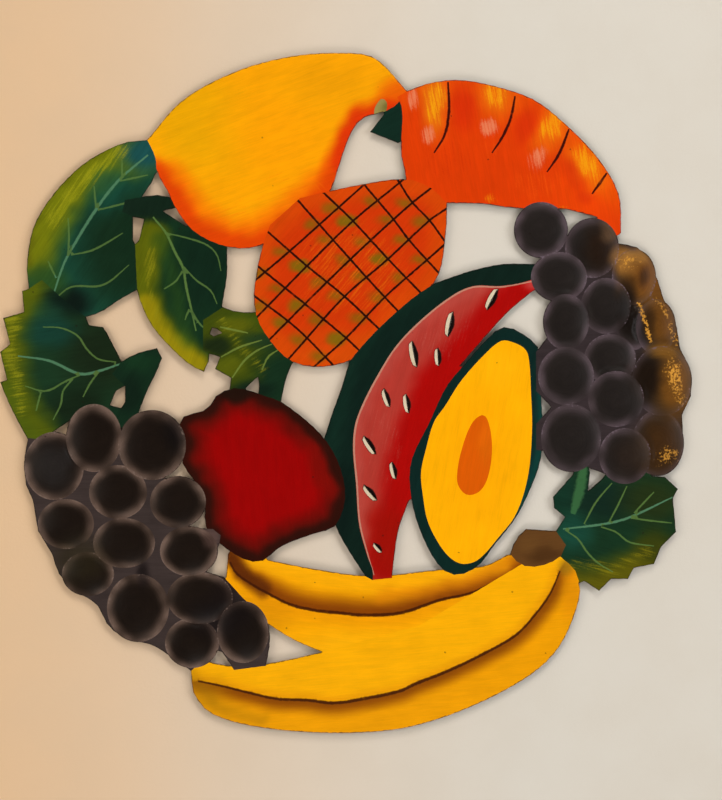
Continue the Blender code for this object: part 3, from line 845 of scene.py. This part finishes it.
print("scene: building the sheet")
pointCount = len(flat)
frontY = -plateForm["sheet"] - height
vertices = np.zeros((pointCount * 2, 3))
vertices[:pointCount, 0] = vertices[pointCount:, 0] = flat[:, 0]
vertices[:pointCount, 2] = vertices[pointCount:, 2] = flat[:, 1]
vertices[:pointCount, 1] = frontY
vertices[pointCount:, 1] = -height
slopes = {}
for at, lip, look in lips:
    away = np.hypot(flat[:, 0] - at.x, flat[:, 1] - at.y)
    slopes[int(away.argmin())] = (lip, look)
following = dict(rimEdges)
for a, b in rimEdges:
    # a point that the joining has put between two points of one lip
    c = following.get(b)
    if b not in slopes and a in slopes and c in slopes and slopes[a][1] == slopes[c][1]:
        slopes[b] = ((slopes[a][0] + slopes[c][0]) / 2, slopes[a][1])
for i, (lip, _) in slopes.items():
    vertices[pointCount + i, 0] += lip.x
    vertices[pointCount + i, 2] += lip.y
walls = [(b, a, a + pointCount, b + pointCount) for a, b in rimEdges]
plainCut = (None, lookNumber["cutEdge"])
wallLooks = [slopes.get(a, slopes.get(b, plainCut))[1] for a, b in rimEdges]
polygons = corners.tolist() + (corners[:, ::-1] + pointCount).tolist() + walls
sheetMesh = bpy.data.meshes.new("paintedPlate")
sheetMesh.from_pydata(vertices.tolist(), [], polygons)
paintedPlate = bpy.data.objects.new("paintedPlate", sheetMesh)
bpy.context.collection.objects.link(paintedPlate)

backLooks = np.full(count, lookNumber["backSteel"])
materialIndex = np.concatenate([lookOf, backLooks, wallLooks]).astype(np.int32)
sheetMesh.polygons.foreach_set("material_index", materialIndex)
loopCount = len(sheetMesh.loops)


def cornerValues(values, width):
    filled = np.zeros((loopCount, width), np.float32)
    filled[:count * 3] = values.reshape(-1, width)
    return filled.ravel()


for name, values in (("paintColour", paintColour), ("dryColour", dryColour),
                     ("lineColour", lineColour)):
    layer = sheetMesh.attributes.new(name, "FLOAT_COLOR", "CORNER")
    layer.data.foreach_set("color", cornerValues(values, 4))
for name, values in (("lineValue", lineValue), ("crossValue", crossValue)):
    layer = sheetMesh.attributes.new(name, "FLOAT", "CORNER")
    layer.data.foreach_set("value", cornerValues(values, 1))
layer = sheetMesh.attributes.new("rimDistance", "FLOAT", "POINT")
layer.data.foreach_set("value", np.tile(rimDistance, 2).astype(np.float32))
brushLayer = sheetMesh.uv_layers.new(name="brush")
brushLayer.data.foreach_set("uv", cornerValues(brushMap, 2))
sheetMesh.validate()

bpy.ops.object.select_all(action="DESELECT")
paintedPlate.select_set(True)
bpy.context.view_layer.objects.active = paintedPlate
bpy.ops.object.shade_smooth_by_angle(angle=plateForm["softAngle"])

print("scene: mixing the materials")


def plug(tree, slot, value):
    if isinstance(value, Wire):
        tree.links.new(value.socket, slot)
    elif value is not None:
        slot.default_value = value


class Wire:
    # a socket that can be worked on with the usual signs
    def __init__(self, tree, socket):
        self.tree = tree
        self.socket = socket

    def maths(self, operation, first, second):
        node = self.tree.nodes.new("ShaderNodeMath")
        node.operation = operation
        plug(self.tree, node.inputs[0], first)
        plug(self.tree, node.inputs[1], second)
        return Wire(self.tree, node.outputs[0])

    def __add__(self, other):
        return self.maths("ADD", self, other)

    def __radd__(self, other):
        return self.maths("ADD", other, self)

    def __sub__(self, other):
        return self.maths("SUBTRACT", self, other)

    def __rsub__(self, other):
        return self.maths("SUBTRACT", other, self)

    def __mul__(self, other):
        return self.maths("MULTIPLY", self, other)

    def __rmul__(self, other):
        return self.maths("MULTIPLY", other, self)


class Paintbox:
    # a material and the nodes that are added to it
    def __init__(self, name):
        self.material = bpy.data.materials.new(name)
        self.material.use_nodes = True
        self.tree = self.material.node_tree
        self.shader = self.tree.nodes["Principled BSDF"]

    def node(self, kind, output, settings=None, sockets=None):
        node = self.tree.nodes.new(kind)
        for key, value in (settings or {}).items():
            setattr(node, key, value)
        for key, value in (sockets or {}).items():
            plug(self.tree, node.inputs[key], value)
        return Wire(self.tree, node.outputs[output])

    def attribute(self, name, output):
        return self.node("ShaderNodeAttribute", output, {"attribute_name": name})

    def place(self):
        return self.node("ShaderNodeTexCoord", "Object")

    def stretched(self, vector, scale):
        return self.node("ShaderNodeVectorMath", "Vector", {"operation": "MULTIPLY"},
                         {0: vector, 1: scale})

    def noise(self, vector, scale, detail=3.0, rough=0.55):
        return self.node("ShaderNodeTexNoise", "Fac", None,
                         {"Vector": vector, "Scale": scale, "Detail": detail,
                          "Roughness": rough})

    def between(self, value, low, high, start=0.0, end=1.0):
        return self.node("ShaderNodeMapRange", "Result", {"interpolation_type": "SMOOTHSTEP"},
                         {"Value": value, "From Min": low, "From Max": high,
                          "To Min": start, "To Max": end})

    def mix(self, factor, first, second):
        node = self.tree.nodes.new("ShaderNodeMix")
        node.data_type = "RGBA"
        plug(self.tree, node.inputs[0], factor)
        plug(self.tree, node.inputs[6], first)
        plug(self.tree, node.inputs[7], second)
        return Wire(self.tree, node.outputs[2])

    def bump(self, height, distance, strength=1.0):
        return self.node("ShaderNodeBump", "Normal", None,
                         {"Height": height, "Distance": distance, "Strength": strength})

    def finish(self, **sockets):
        for key, value in sockets.items():
            plug(self.tree, self.shader.inputs[key.replace("_", " ")], value)
        return self.material


def shade(red, green, blue):
    return tuple(float(value) for value in toLinear((red, green, blue))) + (1.0,)


paintLooks = {
    "fruit": {"streak": 0.26, "tone": 0.2, "rough": 0.34, "relief": 0.00009, "coat": 0.02,
              "dryEdge": 0.45, "grit": 0.2, "gritSize": 900.0},
    "leaf": {"streak": 0.5, "tone": 0.34, "rough": 0.38, "relief": 0.00009, "coat": 0.02,
             "dryEdge": 0.5, "grit": 0.2, "gritSize": 900.0},
    "grape": {"streak": 0.5, "tone": 0.5, "rough": 0.32, "relief": 0.00012, "coat": 0.03,
              "dryEdge": 0.26, "grit": 0.65, "gritSize": 520.0},
}


# Noises along the brush: their stretch, scale, detail and roughness.
brushNoise = {
    "fine": ((55.0, 900.0, 1.0), 1.0, 4.0, 0.6),
    "broad": ((22.0, 170.0, 1.0), 1.0, 3.0, 0.55),
    "bristle": ((34.0, 460.0, 1.0), 1.0, 5.0, 0.65),
}
# Noises of the sheet: their scale, detail and roughness.
sheetNoise = {
    "cloud": (38.0, 4.0, 0.55),
    "ragged": (420.0, 3.0, 0.55),
    "pressure": (160.0, 2.0, 0.55),
    "chips": (260.0, 4.0, 0.7),
}
dryBrush = {"spread": 1.9, "from": 0.34, "full": 0.6}
thinLine = {"stray": 0.9, "edge": (0.55, 1.25), "pressure": (0.22, 0.42, 0.75, 1.0)}
speckle = {"scale": 55.0, "stray": 0.06, "edge": (0.030, 0.055), "cover": 0.55,
           "colour": (28, 16, 10)}
worn = {"stray": 0.0024, "edge": (0.0001, 0.0008), "cover": 0.8, "colour": (30, 21, 15),
        "metal": 0.35, "rough": 0.15}
relief = {"fine": 0.55, "broad": 0.45, "line": 0.35, "dry": 0.3, "worn": 0.9}
varnish = {"rough": 0.22, "coat": 0.03, "coatRough": 0.2, "specular": 0.06}


def paintMaterial(name, look):
    box = Paintbox(name)
    brush = box.node("ShaderNodeUVMap", "UV", {"uv_map": "brush"})
    where = box.place()
    fine, broad, bristle = [box.noise(box.stretched(brush, stretch), *grain)
                            for stretch, *grain in brushNoise.values()]
    cloud, ragged, pressure, chips = [box.noise(where, *grain) for grain in sheetNoise.values()]
    grit = box.noise(where, look["gritSize"], 2.0)
    lift = (1.0 + (fine - 0.5) * look["streak"] + (broad - 0.5) * look["streak"]
            + (cloud - 0.5) * look["tone"])
    colour = box.node("ShaderNodeVectorMath", "Vector", {"operation": "SCALE"},
                      {0: box.attribute("paintColour", "Color"), "Scale": lift})
    dryAmount = box.attribute("dryColour", "Alpha")
    ground = bristle * (1.0 - look["grit"]) + grit * look["grit"]
    dryMask = box.between(dryAmount + (ground - 0.5) * dryBrush["spread"],
                          dryBrush["from"], dryBrush["from"] + look["dryEdge"])
    dryMask = dryMask * box.between(dryAmount, 0.0, dryBrush["full"])
    colour = box.mix(dryMask, colour, box.attribute("dryColour", "Color"))
    stray = (ragged - 0.5) * thinLine["stray"]
    beside, beyond = [box.between(box.attribute(value, "Fac") + stray, *thinLine["edge"])
                      for value in ("lineValue", "crossValue")]
    lineMask = (1.0 - beside * beyond) * box.attribute("lineColour", "Alpha")
    lineMask = lineMask * box.between(pressure, *thinLine["pressure"])
    colour = box.mix(lineMask, colour, box.attribute("lineColour", "Color"))
    speck = box.node("ShaderNodeTexVoronoi", "Distance", None,
                     {"Vector": where, "Scale": speckle["scale"]})
    speckMask = 1.0 - box.between(speck + (grit - 0.5) * speckle["stray"], *speckle["edge"])
    colour = box.mix(speckMask * speckle["cover"], colour, shade(*speckle["colour"]))
    wear = box.attribute("rimDistance", "Fac") + (chips - 0.5) * worn["stray"]
    rimMask = 1.0 - box.between(wear, *worn["edge"])
    colour = box.mix(rimMask * worn["cover"], colour, shade(*worn["colour"]))
    height = (fine * relief["fine"] + broad * relief["broad"] + lineMask * relief["line"]
              + dryMask * dryAmount * relief["dry"] - rimMask * relief["worn"])
    return box.finish(
        Base_Color=colour,
        Roughness=look["rough"] + (fine - 0.5) * varnish["rough"] + rimMask * worn["rough"],
        Metallic=rimMask * worn["metal"],
        Coat_Weight=look["coat"] + (cloud - 0.5) * varnish["coat"],
        Coat_Roughness=varnish["coatRough"],
        Specular_IOR_Level=varnish["specular"],
        Normal=box.bump(height, look["relief"]))


# Bare sheet with mill scale, rust freckles and fine scratches, and the paint in the slots.
steelNoise = {"scale": (30.0, 6.0, 0.62), "freckle": (210.0, 5.0, 0.7)}
steelSkin = {"warmth": (0.3, 0.7), "rough": 0.42, "freckleRough": 0.2, "relief": 0.0002,
             "scale": 0.5, "freckle": 0.4, "scratch": 0.15}
rusting = {"scale": 0.55, "freckle": 0.45, "from": 0.62, "to": 0.74, "cover": 0.8,
           "rough": 0.38, "dull": 0.6}
scratching = {"stretch": (1400.0, 60.0, 90.0), "edge": (0.62, 0.74), "cover": 0.6,
              "colour": (150, 140, 130)}
steels = {
    "backSteel": {"dark": (44, 40, 38), "warm": (72, 62, 54), "rust": (96, 54, 28),
                  "spread": 0.06, "metal": 0.7, "gloss": 0.5},
    "cutEdge": {"dark": (30, 24, 21), "warm": (58, 44, 34), "rust": (70, 38, 20),
                "spread": 0.04, "metal": 0.5, "gloss": 0.5},
    "seedLip": {"dark": (12, 6, 5), "warm": (22, 10, 8), "rust": (34, 8, 6),
                "spread": 0.0, "metal": 0.0, "gloss": 0.03},
    "seedPale": {"dark": (208, 192, 162), "warm": (228, 214, 186), "rust": (150, 112, 80),
                 "spread": 0.0, "metal": 0.0, "gloss": 0.06},
}


def steelMaterial(name, steel):
    box = Paintbox(name)
    where = box.place()
    scale, freckle = [box.noise(where, *grain) for grain in steelNoise.values()]
    scratch = box.noise(box.stretched(where, scratching["stretch"]), 1.0, 2.0)
    rustMask = box.between(scale * rusting["scale"] + freckle * rusting["freckle"],
                           rusting["from"] - steel["spread"], rusting["to"] - steel["spread"])
    scratchMask = box.between(scratch, *scratching["edge"]) * scratching["cover"]
    colour = box.mix(box.between(scale, *steelSkin["warmth"]),
                     shade(*steel["dark"]), shade(*steel["warm"]))
    colour = box.mix(rustMask * rusting["cover"], colour, shade(*steel["rust"]))
    colour = box.mix(scratchMask * steel["gloss"], colour, shade(*scratching["colour"]))
    height = (scale * steelSkin["scale"] + freckle * steelSkin["freckle"]
              + scratch * steelSkin["scratch"])
    return box.finish(
        Base_Color=colour,
        Specular_IOR_Level=steel["gloss"],
        Roughness=(steelSkin["rough"] + rustMask * rusting["rough"]
                   + (freckle - 0.5) * steelSkin["freckleRough"]),
        Metallic=steel["metal"] - rustMask * rusting["dull"] * steel["metal"],
        Normal=box.bump(height, steelSkin["relief"]))


for look in looks:
    if look in steels:
        sheetMesh.materials.append(steelMaterial(look, steels[look]))
    else:
        sheetMesh.materials.append(paintMaterial(look + "Paint", paintLooks[look]))

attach(paintedPlate, "root")
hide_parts("plate")

print("scene: wall, light and camera")
room = {
    "wallBehind": 0.0046,       # how far the wall is behind the plate's back
    "wallSize": 3.0,
    # The wall's colour holds painted light: warm lamp light on the left, cool window light on
    # the right.
    "wallPaintedWarmLight": (226, 190, 150),
    "wallPaintedCoolLight": (218, 212, 201),
    "paintedLightBlend": (-0.34, 0.16),     # from here to here the painted warm lamp light on the left gives way to the painted cool window light on the right
    "paintedLightStray": 0.1,
    "mottle": (196, 180, 158),
    "mottleEdge": (0.3, 0.75),
    "mottleCover": 0.12,
    "wallRough": 0.86,
    "rollerRelief": (0.7, 0.3, 0.0004, 0.6),    # roller's share, mottle's, height, strength
    "eye": 1.5,                 # distance of the camera from the plate's front
    "imageWidth": 722,
    "imageHeight": 800,
    "sensor": 36.0,
    "sky": (0.95, 0.93, 0.9, 1.0),
    "skyLight": 0.25,
}
bpy.ops.object.select_all(action="DESELECT")
bpy.ops.mesh.primitive_plane_add(size=room["wallSize"], location=(0, room["wallBehind"], 0),
                                 rotation=(math.radians(90), 0, 0))
wall = bpy.context.object
wall.name = "wall"
bpy.ops.object.transform_apply(location=True, rotation=True, scale=True)
plaster = Paintbox("plaster")
wallPlace = plaster.place()
# painted light on the wall: warm on the left, giving way to cool on the right
across = plaster.node("ShaderNodeSeparateXYZ", "X", None, {"Vector": wallPlace})
across = across + (plaster.noise(wallPlace, 3.0) - 0.5) * room["paintedLightStray"]
wallToneWithPaintedLight = plaster.mix(plaster.between(across, *room["paintedLightBlend"]),
                       shade(*room["wallPaintedWarmLight"]), shade(*room["wallPaintedCoolLight"]))
mottle = plaster.noise(wallPlace, 14.0, 5.0)
roller = plaster.noise(wallPlace, 420.0, 4.0, 0.6)
mottled = plaster.between(mottle, *room["mottleEdge"]) * room["mottleCover"]
wallToneWithPaintedLight = plaster.mix(mottled, wallToneWithPaintedLight, shade(*room["mottle"]))
rollerShare, mottleShare, *wallRelief = room["rollerRelief"]
plaster.finish(Base_Color=wallToneWithPaintedLight, Roughness=room["wallRough"],
               Normal=plaster.bump(roller * rollerShare + mottle * mottleShare, *wallRelief))
seeThrough = plaster.node("ShaderNodeBsdfTransparent", "BSDF")
behind = plaster.node("ShaderNodeNewGeometry", "Backfacing")
blend = plaster.node("ShaderNodeMixShader", "Shader", None, {
    0: behind, 1: Wire(plaster.tree, plaster.shader.outputs["BSDF"]), 2: seeThrough})
plug(plaster.tree, plaster.tree.nodes["Material Output"].inputs["Surface"], blend)
wall.data.materials.append(plaster.material)

lamps = {
    "windowLight": {"at": (1.55, -1.5, 0.25), "size": 1.1, "power": 15.6,
                    "colour": (0.97, 0.98, 1.0)},
    "lampLight": {"at": (-1.45, -1.45, 0.1), "size": 1.2, "power": 12.0,
                  "colour": (1.0, 0.92, 0.82)},
    "ceilingLight": {"at": (0.25, -1.5, 1.6), "size": 0.8, "power": 15.0,
                     "colour": (1.0, 0.96, 0.9)},
    "floorGlow": {"at": (0.1, -1.6, -1.5), "size": 1.0, "power": 13.0,
                  "colour": (1.0, 0.96, 0.91)},
}
for name, lamp in lamps.items():
    light = bpy.data.lights.new(name, "AREA")
    light.size = lamp["size"]
    light.energy = lamp["power"]
    light.color = lamp["colour"]
    holder = bpy.data.objects.new(name, light)
    bpy.context.collection.objects.link(holder)
    holder.location = lamp["at"]
    holder.rotation_euler = (-Vector(lamp["at"])).to_track_quat("-Z", "Y").to_euler()

sky = bpy.data.worlds.new("sky")
sky.use_nodes = True
background = sky.node_tree.nodes["Background"]
background.inputs["Color"].default_value = room["sky"]
background.inputs["Strength"].default_value = room["skyLight"]
bpy.context.scene.world = sky

middle = place(room["imageWidth"] / 2, room["imageHeight"] / 2)
lens = bpy.data.cameras.new("camera")
lens.sensor_fit = "HORIZONTAL"
lens.sensor_width = room["sensor"]
lens.lens = room["sensor"] * room["eye"] / (room["imageWidth"] * square)
camera = bpy.data.objects.new("camera", lens)
bpy.context.collection.objects.link(camera)
camera.location = (middle.x, -plateForm["sheet"] - room["eye"], middle.y)
camera.rotation_euler = (math.radians(90), 0, 0)
bpy.context.scene.camera = camera
bpy.context.scene.view_settings.view_transform = "Standard"

print("scene: done,", len(polygons), "faces")
